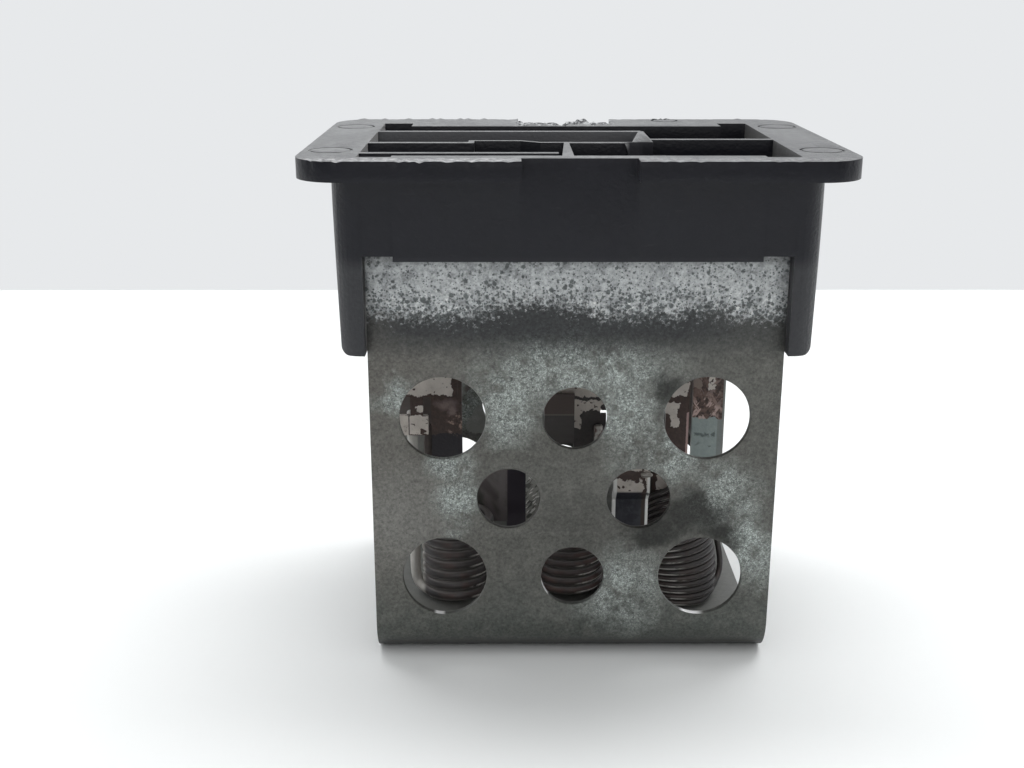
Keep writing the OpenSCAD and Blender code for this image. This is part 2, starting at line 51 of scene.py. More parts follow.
def add_camera():
    data = bpy.data.cameras.new("camera")
    data.lens = LENS
    data.sensor_width = 36
    data.clip_start, data.clip_end = 0.01, 20
    cam = bpy.data.objects.new("camera", data)
    cam.location = Vector(CAMERA_PLACE) * MM
    cam.rotation_euler = [math.radians(a) for a in CAMERA_TURN]
    bpy.context.scene.collection.objects.link(cam)
    bpy.context.scene.camera = cam


# Materials

class Look:
    """A procedural material whose places are millimetres of the part's own frame."""

    def __init__(self, name):
        self.mat = bpy.data.materials.new(name)
        self.mat.use_nodes = True
        self.tree = self.mat.node_tree
        self.tree.nodes.clear()
        self.shader = self.node("ShaderNodeBsdfPrincipled")
        self.put(self.node("ShaderNodeOutputMaterial").inputs["Surface"], self.shader.outputs[0])
        coord = self.node("ShaderNodeTexCoord")
        self.place = self.mapped(coord.outputs["Object"], Scale=(1 / MM, 1 / MM, 1 / MM))
        self.x, self.y, self.z = self.split(self.place)
        facing = self.node("ShaderNodeNewGeometry")
        self.nx, self.ny, self.nz = self.split(facing.outputs["Normal"])

    def node(self, kind):
        return self.tree.nodes.new(kind)

    def put(self, socket, value):
        if isinstance(value, bpy.types.NodeSocket):
            self.tree.links.new(value, socket)
        elif isinstance(value, tuple) and len(value) == 3 and socket.type == "RGBA":
            socket.default_value = (*value, 1)
        else:
            socket.default_value = value

    def mapped(self, place, **settings):
        """A place stretched, turned and moved."""
        n = self.node("ShaderNodeMapping")
        for name, value in settings.items():
            n.inputs[name].default_value = value
        self.put(n.inputs[0], place)
        return n.outputs[0]

    def split(self, vector):
        n = self.node("ShaderNodeSeparateXYZ")
        self.put(n.inputs[0], vector)
        return n.outputs

    def math(self, kind, a, b=0.0):
        n = self.node("ShaderNodeMath")
        n.operation = kind
        self.put(n.inputs[0], a)
        self.put(n.inputs[1], b)
        return n.outputs[0]

    def times(self, value, *others):
        for other in others:
            value = self.math("MULTIPLY", value, other)
        return value

    def most(self, value, *others):
        for other in others:
            value = self.math("MAXIMUM", value, other)
        return value

    def add(self, a, b):
        return self.math("ADD", a, b)

    def swing(self, value, size):
        """Noise as a shift to either side of 0, size from end to end."""
        return self.times(self.math("SUBTRACT", value, 0.5), size)

    def cloud(self, place, scale, detail, rough):
        n = self.node("ShaderNodeTexNoise")
        self.put(n.inputs["Vector"], place)
        n.inputs["Scale"].default_value = scale
        n.inputs["Detail"].default_value = detail
        n.inputs["Roughness"].default_value = rough
        return n.outputs["Fac"]

    def noise(self, scale, detail=3.0, rough=0.55, stretch=(1, 1, 1), shift=(0, 0, 0)):
        place = self.place
        if stretch != (1, 1, 1) or shift != (0, 0, 0):
            place = self.mapped(place, Scale=stretch, Location=shift)
        return self.cloud(place, scale, detail, rough)

    def strokes(self, scale, tilt, shift=(0, 0, 0)):
        """Fine noise drawn out along one slanted direction of the plates."""
        turned = self.mapped(self.place, Rotation=(0, math.radians(tilt), 0), Location=shift)
        return self.cloud(self.mapped(turned, Scale=(1, 1, 0.3)), scale, 2, 0.5)

    def cells(self, scale, shift=(0, 0, 0)):
        """Distance from the nearest of many scattered points, and that point's own number."""
        n = self.node("ShaderNodeTexVoronoi")
        self.put(n.inputs["Vector"], self.mapped(self.place, Location=shift))
        n.inputs["Scale"].default_value = scale
        return n.outputs["Distance"], self.split(n.outputs["Color"])[0]

    def step(self, value, low, high):
        """0 below low, 1 above high, smooth between; falls instead if low is above high."""
        n = self.node("ShaderNodeMapRange")
        n.interpolation_type = "SMOOTHSTEP"
        self.put(n.inputs["Value"], value)
        ends = (low, high, 0, 1) if low < high else (high, low, 1, 0)
        for name, end in zip(("From Min", "From Max", "To Min", "To Max"), ends):
            n.inputs[name].default_value = end
        return n.outputs[0]

    def grainy(self, low, high, *settings, **where):
        """Patches of noise, from none at its low value to full at its high one."""
        return self.step(self.noise(*settings, **where), low, high)

    def spot(self, x, z, rx, rz, soft=0.6):
        """1 inside an upright ellipse, fading to 0 at its edge."""
        dx = self.times(self.math("SUBTRACT", self.x, x), 1 / rx)
        dz = self.times(self.math("SUBTRACT", self.z, z), 1 / rz)
        far = self.math("SQRT", self.add(self.times(dx, dx), self.times(dz, dz)))
        return self.step(far, 1.0, 1.0 - soft)

    def box(self, x0, x1, z0, z1, soft=0.15, x=None, z=None):
        """1 inside an upright rectangle, fading across its edge."""
        x, z = x or self.x, z or self.z
        return self.times(self.step(x, x0 - soft, x0 + soft), self.step(x, x1 + soft, x1 - soft),
                          self.step(z, z0 - soft, z0 + soft), self.step(z, z1 + soft, z1 - soft))

    def shaken(self, scale, size):
        """The place across and up, moved about by noise, for edges that aren't straight."""
        return [self.add(value, self.swing(self.noise(scale, 4, 0.65, shift=shift), size))
                for value, shift in ((self.x, (11, 3, 5)), (self.z, (4, 17, 9)))]

    def mix(self, amount, a, b, data_type="RGBA", blend_type="MIX"):
        n = self.node("ShaderNodeMix")
        n.data_type = data_type
        n.blend_type = blend_type
        for name, value in (("Factor", amount), ("A", a), ("B", b)):
            self.put(n.inputs[name], value)
        return n.outputs["Result"]

    def blend(self, amount, a, b):
        return self.mix(amount, a, b, "FLOAT")

    def finish(self, color, rough, height, depth=0.02, metal=0.0):
        for name, value in (("Base Color", color), ("Roughness", rough), ("Metallic", metal)):
            self.put(self.shader.inputs[name], value)
        bump = self.node("ShaderNodeBump")
        bump.inputs["Strength"].default_value = 1
        bump.inputs["Distance"].default_value = depth * MM
        self.put(bump.inputs["Height"], height)
        self.put(self.shader.inputs["Normal"], bump.outputs[0])
        return self.mat


def plastic_look():
    """Black moulding: dust, painted sheen and scuffs on what faces up; broken grey where torn."""
    m = Look("head_plastic")
    m.shader.inputs["Specular IOR Level"].default_value = 0.26
    m.shader.inputs["Sheen Weight"].default_value = 0.06
    m.shader.inputs["Sheen Roughness"].default_value = 0.35
    grain = m.noise(2.6, 3)
    rough_grain = m.noise(1.1, 6, 0.7)
    cloud = m.noise(0.22, 4)
    color = m.mix(cloud, (0.0045, 0.005, 0.0085), (0.009, 0.0095, 0.0145))

    # dust and painted sheen on the deck, thinner in the tear and to the right
    up = m.step(m.nz, 0.6, 0.95)
    torn = m.times(m.step(m.y, 15.6, 16.4), m.step(m.z, 59.0, 59.6),
                   m.box(-TEAR_HALF, TEAR_HALF, 50, 70, 0.3))
    deck = m.times(up, m.step(m.z, 60.2, 60.7), m.blend(torn, 1.0, 0.25))
    dust_and_painted_light = m.times(deck, m.blend(m.step(rough_grain, 0.34, 0.66), 0.6, 1.0),
                   m.blend(m.step(cloud, 0.35, 0.6), 0.7, 1.0),
                   m.blend(m.step(m.x, 0.0, 25.0), 1.0, 0.72))
    color = m.mix(dust_and_painted_light, color, (0.215, 0.22, 0.225))

    # scuffs, the chipped front lip and the torn patch
    scuff = m.grainy(0.66, 0.75, 0.9, 4, 0.6, stretch=(0.35, 1, 2.2))
    color = m.mix(m.times(scuff, 0.2), color, (0.04, 0.04, 0.043))
    chips = m.times(deck, m.step(m.y, -19.3, -20.2),
                    m.grainy(0.46, 0.6, 1.4, 5, 0.75, shift=(4, 4, 1)),
                    m.blend(m.step(m.x, -7.5, -6.5), 1.0, 0.4))
    color = m.mix(chips, color, (0.5, 0.5, 0.51))
    crumbs = m.grainy(0.47, 0.57, 1.6, 4, 0.75, shift=(9, 2, 2))
    color = m.mix(m.times(torn, crumbs), color, (0.42, 0.43, 0.44))

    # painted light on the upper parts of faces inside the socket: the end walls and the dividers'
    # left faces
    inner = m.times(m.step(m.z, 54.0, 57.0), m.blend(grain, 0.5, 1.0))
    faces_right, faces_left = m.step(m.nx, 0.5, 0.9), m.step(m.nx, -0.5, -0.9)
    for end, gray in ((m.times(m.step(m.x, -23.6, -24.0), faces_right), 0.42),
                      (m.times(faces_left, m.box(-3.0, 5.0, 50, 70)), 0.3),
                      (m.times(m.step(m.x, 23.6, 24.0), faces_left), 0.12)):
        color = m.mix(m.times(inner, end), color, (gray, gray, gray))

    # painted light on the rear rib's front face, the lowered divider kept dark and rough, and the
    # lower walls painted lighter
    lit_rear_rib = m.times(m.step(m.y, 6.0, 6.3), m.step(m.y, 7.0, 6.7), m.step(m.ny, -0.5, -0.9),
                       m.step(m.z, 55.0, 56.0))
    color = m.mix(lit_rear_rib, color, (0.095, 0.097, 0.105))
    divider = m.times(m.step(m.y, -17.5, -17.3), m.step(m.y, -4.7, -5.1), m.step(m.x, 6.5, 6.8),
                      m.step(m.x, 10.1, 9.9))
    color = m.mix(divider, color, (0.008, 0.008, 0.011))
    low = m.times(m.step(m.z, 50.6, 48.5), m.blend(grain, 0.5, 1.0))
    color = m.mix(low, color, (0.042, 0.043, 0.047))
    rough = m.blend(divider, m.blend(cloud, 0.3, 0.45), 1.0)
    return m.finish(color, rough, m.add(m.times(rough_grain, m.blend(up, 0.7, 2.0)), grain), 0.06)


# Marks on the front of the shield: across, up, the two radii and the softness of each
FROST = ((0.5, 37.0, 15.5, 6.0, 0.8), (-8.0, 33.5, 5.5, 8.0, 0.8), (6.0, 31.0, 5.5, 8.0, 0.8),
         (11.5, 27.0, 5.5, 5.5, 0.8), (17.5, 21.5, 6.5, 6.0, 0.8), (21.5, 15.5, 4.0, 8.0, 0.8),
         (-14.5, 25.5, 4.0, 4.0, 0.8), (-13.5, 21.0, 4.0, 6.0, 0.8), (6.0, 9.5, 7.0, 7.5, 0.8),
         (-20.5, 33.5, 4.0, 2.5, 0.8))
STAINS = ((13.8, 19.0, 6.5, 3.8, 0.7), (9.5, 16.8, 5.5, 3.2, 0.7), (18.0, 16.6, 4.0, 2.4, 0.7),
          (10.6, 34.8, 2.8, 3.4, 0.8))
FAINT_STAIN = (1.0, 18.5, 8.0, 5.0, 0.9)
# Painted glints on the lower rims of three vents
GLINTS = ((-16.0, 6.2, 0.8, 0.6, 0.6), (14.3, 6.2, 1.9, 0.8, 0.6), (-3.4, 9.6, 0.8, 1.6, 0.5))
# Dark specks of the pale band: scale, shift and reach of three layers
SPECKS = ((1.25, (2, 3, 4), 0.17), (2.1, (6, 1, 3), 0.17), (3.2, (9, 9, 1), 0.16))
BAND_EDGE = 43.5


def lower_shield(m, clump, coarse):
    """The dull field under the pale band, where it is frosty, and the painted shade under the
    fold.
    """
    x, z = m.x, m.z
    m.x, m.z = m.shaken(0.2, 8.0)
    color = m.mix(m.step(m.x, -20.0, -6.0), (0.110, 0.106, 0.096), (0.094, 0.094, 0.086))
    color = m.mix(m.spot(-20.0, 18.0, 9.0, 11.0, 0.9), color, (0.165, 0.163, 0.152))
    color = m.mix(m.times(m.step(m.z, 13.0, 4.0), 0.8), color, (0.073, 0.081, 0.074))
    color = m.mix(m.times(m.step(clump, 0.42, 0.66), 0.3), color, (0.16, 0.158, 0.145))
    frosty = m.times(m.most(*[m.spot(*place) for place in FROST]), m.step(clump, 0.28, 0.56))
    patchy = m.blend(m.step(m.noise(0.16, 4), 0.35, 0.65), 0.75, 1.0)
    color = m.mix(m.times(frosty, patchy), color, (0.25, 0.275, 0.262))
    stain = m.most(*[m.spot(*place) for place in STAINS], m.times(m.spot(*FAINT_STAIN), 0.35))
    color = m.mix(m.times(stain, m.blend(coarse, 0.8, 1.0)), color, (0.020, 0.021, 0.019))
    m.x, m.z = x, z
    # painted shade: near black low on the fold, where the sheet turns under
    under = m.step(m.z, 2.9, 1.0)
    return m.mix(m.times(under, 0.95), color, (0.006, 0.006, 0.006)), frosty, under


def upper_shield(m, grain, clump, coarse):
    """The pale band: streaks, a crust that thickens downward, soft dark specks, and painted shadow
    at its top.
    """
    streaks = m.noise(0.9, 3, 0.5, stretch=(1, 1, 0.4))
    color = m.mix(streaks, (0.29, 0.305, 0.312), (0.50, 0.515, 0.52))
    crust = m.times(m.grainy(0.52, 0.66, 2.6, 4, 0.7, shift=(1, 7, 2)), m.step(m.z, 48.5, 44.0))
    color = m.mix(m.times(crust, 0.75), color, (0.68, 0.68, 0.66))
    murk = m.grainy(0.48, 0.64, 0.55, 5, 0.7, shift=(2, 5, 7))
    color = m.mix(m.times(murk, 0.6), color, (0.15, 0.16, 0.165))
    down = m.step(m.z, 49.0, 43.0)
    crowd = m.swing(clump, 0.5)
    specks = []
    for scale, shift, size in SPECKS:
        far, own = m.cells(scale, shift)
        far = m.add(far, m.swing(grain, 0.55))
        reach = m.times(m.add(down, m.times(coarse, 1.2)), size)
        reach = m.add(m.add(m.times(own, 0.26), reach), crowd)
        specks.append(m.step(m.math("SUBTRACT", far, reach), 0.04, -0.16))
    color = m.mix(m.times(m.most(*specks), 0.85), color, (0.06, 0.07, 0.071))
    # painted shadow along the top, under the head's lower edge
    return m.mix(m.times(m.step(m.z, 48.9, 49.8), 0.4), color, (0.08, 0.08, 0.08))


def shield_look():
    """Zinc gone dull: a pale band under the head, a dark one below it, frosty patches, stains."""
    m = Look("shield_sheet")
    grain = m.noise(3.1, 4, 0.62)
    coarse = m.noise(1.3, 4, 0.6, shift=(3, 9, 5))
    clump = m.noise(0.45, 5, 0.7, shift=(7, 2, 9))
    low, frosty, under = lower_shield(m, clump, coarse)
    high = upper_shield(m, grain, clump, coarse)

    # grain: fine everywhere, with painted sparkle highlights, strongest where the zinc is frosty
    fine = m.swing(grain, m.blend(frosty, 1.8, 2.9))
    painted_sparkle = m.most(m.noise(4.2, 3, 0.6, shift=(2, 2, 2)), m.noise(7.0, 2, 0.5, shift=(5, 2, 1)))
    painted_sparkle = m.times(m.step(painted_sparkle, 0.57, 0.64), m.blend(frosty, 0.18, 1.1))
    shade = m.add(m.add(m.blend(frosty, 1.0, 0.86), fine), painted_sparkle)

    # the dark band, and the pale one's crumbled lower edge
    band = m.times(m.step(m.add(m.z, m.times(coarse, 3.0)), 38.6, 43.2),
                   m.blend(m.most(m.step(m.x, 12.0, 21.0), m.step(m.x, -19.0, -23.0)), 0.92, 0.62))
    low = m.mix(band, low, (0.028, 0.030, 0.032))
    edge = m.add(BAND_EDGE, m.swing(m.noise(0.35, 6, 0.7), 2.6))
    edge = m.add(edge, m.times(m.spot(-3.6, 44.5, 9.5, 6.0, 0.9), 1.7))
    edge = m.add(edge, m.times(m.spot(14.6, 44.5, 4.0, 6.0, 0.8), 0.9))
    crumb = m.swing(m.noise(1.9, 5, 0.75, shift=(8, 1, 1)), 9.0)
    over = m.add(m.math("SUBTRACT", m.z, edge), crumb)
    color = m.mix(m.step(over, -1.3, 1.0), low, high)
    shade = m.blend(m.step(over, -0.5, 0.6), shade, m.add(1.0, fine))
    color = m.mix(1.0, color, shade, blend_type="MULTIPLY")

    # inside: paler, with rust near the strips, a pale streak, and painted shade low behind the
    # feet
    inside = m.times(m.math("LESS_THAN", m.math("ABSOLUTE", m.y), 17.6),
                     m.math("GREATER_THAN", m.nz, -0.02))
    color = m.mix(m.times(inside, 0.7), color,
                  m.mix(coarse, (0.16, 0.165, 0.155), (0.25, 0.255, 0.24)))
    behind = m.times(inside, m.step(m.y, 10.0, 11.0))
    rusted = m.most(m.box(-24.0, -17.0, 17.0, 40.0, 0.5), m.box(14.5, 20.5, 17.0, 40.0, 0.5),
                    m.times(m.spot(-12.9, 23.4, 1.5, 1.1, 0.5), 0.9))
    for mask, paint in ((m.times(rusted, m.blend(coarse, 0.7, 1.0)), (0.05, 0.034, 0.029)),
                        (m.box(-13.9, -13.4, 18.8, 22.0, 0.2), (0.4, 0.38, 0.36)),
                        # painted shade on the back fold behind the feet
                        (m.box(-7.9, -4.6, 0, 11.0, 0.15), (0.050, 0.042, 0.055))):
        color = m.mix(m.times(behind, mask), color, paint)

    # painted glints on the lower rims of three vents
    wall = m.times(m.step(m.math("ABSOLUTE", m.ny), 0.5, 0.3), m.step(m.y, -17.0, -17.3))
    glint = m.most(*[m.spot(*place) for place in GLINTS])
    color = m.mix(m.times(wall, glint), color, (0.95, 0.95, 0.95))
    # metal only outside, and not in the painted shade under the fold
    bare = m.times(m.math("SUBTRACT", 1.0, inside), m.math("SUBTRACT", 1.0, under))
    return m.finish(color, m.blend(grain, 0.36, 0.6), m.add(grain, m.times(coarse, 0.6)), 0.03,
                    m.times(bare, 0.5))


class StripLook(Look):
    """A strip of stained pale metal under brown oxide; masks say where the oxide is.

    Places are shaken by noise, apart from across and upright, which keep edges straight.
    """

    def __init__(self, name):
        super().__init__(name)
        self.across, self.upright = self.x, self.z
        self.fine = self.noise(2.4, 4, 0.6)
        self.pale = self.mix(self.noise(0.6, 4), (0.42, 0.38, 0.345), (0.78, 0.725, 0.67))
        mottle = self.grainy(0.55, 0.75, 1.3, 5, 0.75, shift=(3, 1, 8))
        self.pale = self.mix(self.times(mottle, 0.6), self.pale, (0.20, 0.15, 0.125))
        pits = self.grainy(0.66, 0.72, 1.9, 2, 0.4, shift=(1, 4, 2))
        self.pale = self.mix(pits, self.pale, (0.05, 0.03, 0.025))
        self.brown = self.mix(self.fine, (0.026, 0.019, 0.017), (0.105, 0.066, 0.056))
        self.x, self.z = self.shaken(0.8, 1.9)

    def layer(self, color, mask, over, low=0.35, high=0.65):
        """Another colour over the first, its edge broken up by grain."""
        broken = self.add(mask, self.swing(self.fine, 1.2))
        return self.mix(self.step(broken, low, high), color, over)

    def without(self, mask, hole):
        return self.times(mask, self.math("SUBTRACT", 1.0, hole))

    def rust(self, color, mask=None, metal=0.25):
        """Finishes the strip: specks of rust all over, and rough, crusty rust under the mask."""
        color = self.layer(color, 0.0 if mask is None else mask, self.brown)
        rough, height = 0.42, self.noise(3.0, 2)
        if mask is not None:
            rough, metal = self.blend(mask, rough, 0.75), self.blend(mask, metal, 0.0)
            height = self.add(self.times(mask, self.noise(1.6, 4)), height)
        return self.finish(color, rough, height, 0.05, metal)


def common_look():
    """Pale, with dark brown bands across it, over its weld pad and along its right edge."""
    m = StripLook("common_terminal_metal")
    # dark brown, finished rough: a frame round the leg and a band across above it
    leg = m.without(m.box(-20.6, -18.3, 26.2, 28.9), m.box(-19.6, -18.5, 26.6, 27.75, 0.1))
    rust = m.most(leg, m.box(-22.5, -13.5, 28.0, 29.05), m.box(-14.95, -13.5, 28.0, 50),
                  m.spot(-18.7, 24.1, 0.45, 0.5), m.box(-22.5, -17.0, 23.0, 23.75))
    line = m.box(-20.5, -20.33, 23.0, 26.4, 0.05, m.across)
    return m.rust(m.layer(m.pale, line, (0.17, 0.15, 0.14)), rust)


def left_look():
    """Brown above, near black over the coil, and a dull brown foot with a painted highlight on its
    right edge.
    """
    m = StripLook("left_terminal_metal")
    color = m.layer(m.brown, m.box(-19, -13, 17.4, 21.6, 0.4), (0.021, 0.018, 0.023))
    stain = m.most(m.spot(-16.0, 25.6, 2.2, 1.0, 0.9), m.spot(-15.2, 24.7, 0.9, 1.1, 0.7))
    color = m.mix(m.times(stain, 0.75), color, (0.27, 0.205, 0.195))
    flake = m.grainy(0.50, 0.58, 1.3, 4, 0.7, stretch=(1, 1, 0.8), shift=(3, 3, 3))
    color = m.mix(m.times(flake, m.spot(-14.9, 23.0, 1.5, 2.1, 0.5)), color, (0.36, 0.255, 0.21))
    dull = m.mix(m.step(m.strokes(0.8, 35), 0.3, 0.7), (0.11, 0.096, 0.094), (0.20, 0.178, 0.178))
    # painted highlight along the foot's right edge
    dull = m.mix(m.box(-8.9, -7.9, 8, 18, 0.3), dull, (0.20, 0.18, 0.18))
    dull = m.mix(m.spot(-11.7, 11.5, 1.0, 3.0, 0.8), dull, (0.09, 0.092, 0.08))
    color = m.mix(m.step(m.z, 17.8, 17.2), color, dull)
    color = m.layer(color, m.box(-19, -13, 33, 50, 1.5), m.pale)
    return m.rust(color, metal=0.1)


def middle_look():
    """Pale at the bridge and beside the doubler, dark elsewhere, the foot dull, with painted
    highlights on its left edge.
    """
    m = StripLook("middle_terminal_metal")
    front = m.step(m.y, 3.1, 3.25)
    doubler = m.math("SUBTRACT", 1.0, front)
    dark = m.mix(m.fine, (0.030, 0.027, 0.028), (0.080, 0.070, 0.068))
    lower = m.times(m.box(-6, 6, 8, 17.7), m.grainy(0.4, 0.6, 0.5, 3))
    dark = m.mix(lower, dark, (0.045, 0.040, 0.05))
    dark = m.mix(doubler, dark, m.mix(m.noise(1.1, 3, stretch=(0.25, 1, 1)), (0.062, 0.055, 0.053),
                                      (0.095, 0.088, 0.085)))
    above = m.times(doubler, m.step(m.upright, 24.3, 24.6))
    dark = m.mix(above, dark, (0.105, 0.082, 0.075))
    line = m.box(-6, 3, 24.33, 24.5, 0.06, m.across, m.upright)
    dark = m.mix(m.times(line, doubler, 0.7), dark, (0.22, 0.19, 0.18))

    # painted highlights on the foot's left edge: light grey with bright and dark strokes that
    # stand for lit coil turns
    foot_edge_highlights = m.box(-6, -3.4, 8, 18, 0.1, m.across)
    bright, dull = m.strokes(2.8, -48, (2, 2, 5)), m.strokes(2.8, -48, (9, 4, 1))
    dark = m.mix(foot_edge_highlights, dark,
                 m.mix(m.step(bright, 0.55, 0.62), (0.42, 0.42, 0.39), (1.0, 1.0, 0.96)))
    dark = m.mix(m.times(foot_edge_highlights, m.step(dull, 0.54, 0.6)), dark, (0.16, 0.16, 0.15))

    pale = m.most(m.box(-3.2, 6.0, 26.75, 60), m.box(1.0, 4.9, 24.5, 26.2),
                  m.box(1.0, 2.2, 22.4, 26.4))
    pale = m.without(pale, m.spot(3.7, 23.2, 1.45, 1.7, 0.15))
    pale = m.times(pale, m.most(front, m.step(m.z, 33, 34)))
    return m.rust(m.layer(dark, pale, m.pale), metal=0.15)


def link_look():
    """Pale leaning stretch over a blue-black leg with painted edge highlights; pale, rusted inner
    leg and foot.
    """
    m = StripLook("link_terminal_metal")
    ahead = m.step(m.y, -6.0, -7.0)
    front = m.mix(m.grainy(0.4, 0.6, 0.9, 3), (0.028, 0.029, 0.038), (0.045, 0.046, 0.056))
    front = m.layer(front, m.box(9.1, 9.55, 12, 20.3, 0.1, m.across), (0.05, 0.036, 0.03))
    front = m.mix(m.step(m.upright, 18.4, 18.7), front, m.pale)
    rust = m.most(m.box(5.0, 9.0, 20.15, 21.3), m.spot(8.4, 20.0, 0.4, 0.45),
                  m.spot(6.8, 19.1, 0.25, 0.25), m.box(9.05, 9.5, 18.0, 20.6))
    front = m.layer(front, rust, m.brown)
    # painted highlights along both cut edges of the front leg
    edges = m.most(m.box(5.3, 5.85, 13, 20.3, 0.06, m.across),
                   m.box(9.6, 10.1, 12, 20.5, 0.06, m.across))
    painted_edge_highlights = m.times(m.without(edges, m.box(9.4, 10.4, 18.0, 18.3)), m.step(m.upright, 21.0, 20.4))
    front = m.mix(painted_edge_highlights, front, (0.9, 0.9, 0.88))

    pale = m.most(m.box(13.2, 15.1, 22.6, 25.95), m.box(13.2, 16.25, 26.75, 28.6),
                  m.box(12.4, 16.6, 13.0, 15.6))
    inner = m.layer(m.brown, pale, m.pale, 0.45, 0.6)
    inner = m.layer(inner, m.spot(13.3, 23.2, 0.9, 1.3, 0.3), m.brown)
    # painted highlight along the inner leg's right edge
    inner = m.layer(inner, m.box(16.15, 16.5, 17, 24.5, 0.1, m.across), (0.42, 0.29, 0.27))
    inner = m.layer(inner, m.times(m.step(m.z, 28.6, 31.0), m.step(m.z, 54, 33)), m.pale)
    return m.rust(m.mix(ahead, inner, front), metal=0.2)


def right_look():
    """Rust with pink and beige flakes above, blue-grey below, a darker stripe on the right."""
    m = StripLook("right_terminal_metal")
    blue = m.mix(m.noise(1.1, 4), (0.20, 0.255, 0.25), (0.34, 0.385, 0.375))
    marks = m.most(m.times(m.box(17.3, 20.0, 21.1, 21.6, 0.1), m.grainy(0.35, 0.5, 1.0, 2)),
                   m.times(m.spot(18.7, 19.9, 1.5, 0.4),
                           m.grainy(0.5, 0.58, 2.0, 2, 0.4, stretch=(0.8, 1, 1))))
    blue = m.mix(m.times(marks, 0.8), blue, (0.07, 0.09, 0.09))

    flake = m.most(m.strokes(1.9, 30, (3, 3, 3)), m.strokes(2.3, -35, (7, 1, 2)))
    flake = m.step(flake, 0.55, 0.62)
    where = m.most(m.spot(18.4, 24.9, 2.6, 1.9, 0.4), m.spot(17.0, 23.9, 1.9, 1.1, 0.4),
                   m.times(m.box(16.5, 20.7, 23.8, 30, 0.3), 0.35))
    crust = m.mix(m.grainy(0.35, 0.65, 1.3, 5, 0.7), (0.04, 0.026, 0.023), (0.17, 0.11, 0.092))
    crust = m.mix(m.times(flake, where), crust, (0.50, 0.37, 0.335))
    crust = m.layer(crust, m.box(18.9, 19.75, 27.6, 29.6), m.pale)
    crust = m.layer(crust, m.spot(17.4, 28.6, 0.8, 1.2, 0.5), (0.24, 0.19, 0.165))

    color = m.layer(blue, m.box(15, 22, 23.75, 34, 0.25), crust)
    color = m.layer(color, m.box(15, 22, 33, 60, 1.0), m.pale)
    stripe = m.box(20.3, 22, 10, 23.7, 0.1, m.across)
    return m.rust(m.mix(m.times(stripe, 0.6), color, (0.16, 0.165, 0.16)), metal=0.2)


def wire_look(name, dark, lit, red, shaded, highlight_limits, bare=None):
    """Dull resistance wire, with dust and painted light between its turns and thin painted
    highlight lines.

    red is the strength of its reddish patches; shaded is the side across, -1 or 1, that gets
    painted shade; the next argument gives two limits of the normal across and the height up to
    which the painted highlights are seen; bare masks a clean grey lead.
    """
    m = Look(name)
    scale = m.noise(1.4, 4, 0.6)
    color = m.mix(scale, dark, lit)
    color = m.mix(m.times(m.grainy(0.42, 0.6, 0.35, 3, shift=(4, 4, 4)), red), color,
                  (0.15, 0.078, 0.062))
    # painted shade on the coil's outer side, the one turned to the open end
    if shaded:
        black = m.step(m.times(m.nx, shaded), 0.05, 0.6)
        color = m.mix(m.times(black, 0.8), color, (0.014, 0.013, 0.014))
    # painted light in a dust colour on the undersides and, unless shaded is 1, the upper sides,
    # lifting the shade between turns
    dust_and_painted_light = m.mix(scale, (0.19, 0.178, 0.175), (0.33, 0.31, 0.305))
    color = m.mix(m.step(m.nz, 0.0, -0.85), color, dust_and_painted_light)
    if shaded < 1:
        color = m.mix(m.step(m.nz, 0.6, 0.95), color, dust_and_painted_light)
    # painted highlights: thin bright lines along the front of each turn
    from_x, to_x, top = highlight_limits
    line = m.times(m.step(m.nz, -0.5, -0.3), m.step(m.nz, 0.08, -0.12),
                   m.step(m.nx, from_x, from_x + 0.3), m.step(m.nx, to_x, to_x - 0.3),
                   m.step(m.ny, 0.1, -0.2), m.step(m.z, top, top - 2.5),
                   m.grainy(0.32, 0.5, 0.7, 3, 0.5, shift=(6, 1, 3)))
    color = m.mix(line, color, (1.0, 0.98, 0.94))
    if bare is not None:
        color = m.mix(bare(m), color, m.mix(scale, (0.38, 0.36, 0.335), (0.56, 0.55, 0.52)))
    return m.finish(color, m.blend(scale, 0.32, 0.5), m.noise(3.5, 2), metal=0.3)


def wire_looks():
    """The looks of the left, the middle and the right coil."""
    left = wire_look("left_wire", (0.052, 0.047, 0.047), (0.085, 0.077, 0.076), 0.3, -1,
                     (0.3, 1.3, 14.0), lambda m: m.step(m.x, -18.5, -19.1))
    middle = wire_look("middle_wire", (0.062, 0.05, 0.05), (0.11, 0.09, 0.087), 0.4, 0,
                       (0.05, 1.1, 8.5),
                       lambda m: m.times(m.step(m.z, 18.5, 20.0), m.grainy(0.4, 0.6, 1.2, 4)))
    right = wire_look("right_wire", (0.055, 0.051, 0.05), (0.095, 0.088, 0.086), 0.15, 1,
                      (-1.3, 0.2, 22.0))
    return left, middle, right


def can_look():
    m = Look("fuse_can")
    cloud = m.noise(0.7, 4)
    color = m.mix(cloud, (0.10, 0.10, 0.092), (0.17, 0.17, 0.155))
    return m.finish(color, m.blend(cloud, 0.35, 0.55), m.noise(2.2, 3), metal=0.6)


def rusty_look():
    m = Look("rusty_bead")
    color = m.mix(m.noise(1.8, 4), (0.018, 0.014, 0.013), (0.06, 0.044, 0.039))
    return m.finish(color, 0.7, m.noise(2.0, 4), 0.06)


def weld_look():
    m = Look("weld_metal")
    color = m.mix(m.noise(1.2, 3), (0.30, 0.28, 0.26), (0.55, 0.52, 0.48))
    return m.finish(color, 0.32, m.noise(2.0, 3), 0.05, 0.85)


# Mesh helpers

def add_piece(name, mesh, look):
    obj = bpy.data.objects.new(name, mesh)
    bpy.context.scene.collection.objects.link(obj)
    mesh.materials.clear()
    mesh.materials.append(look)
    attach(obj, "root")
    return obj


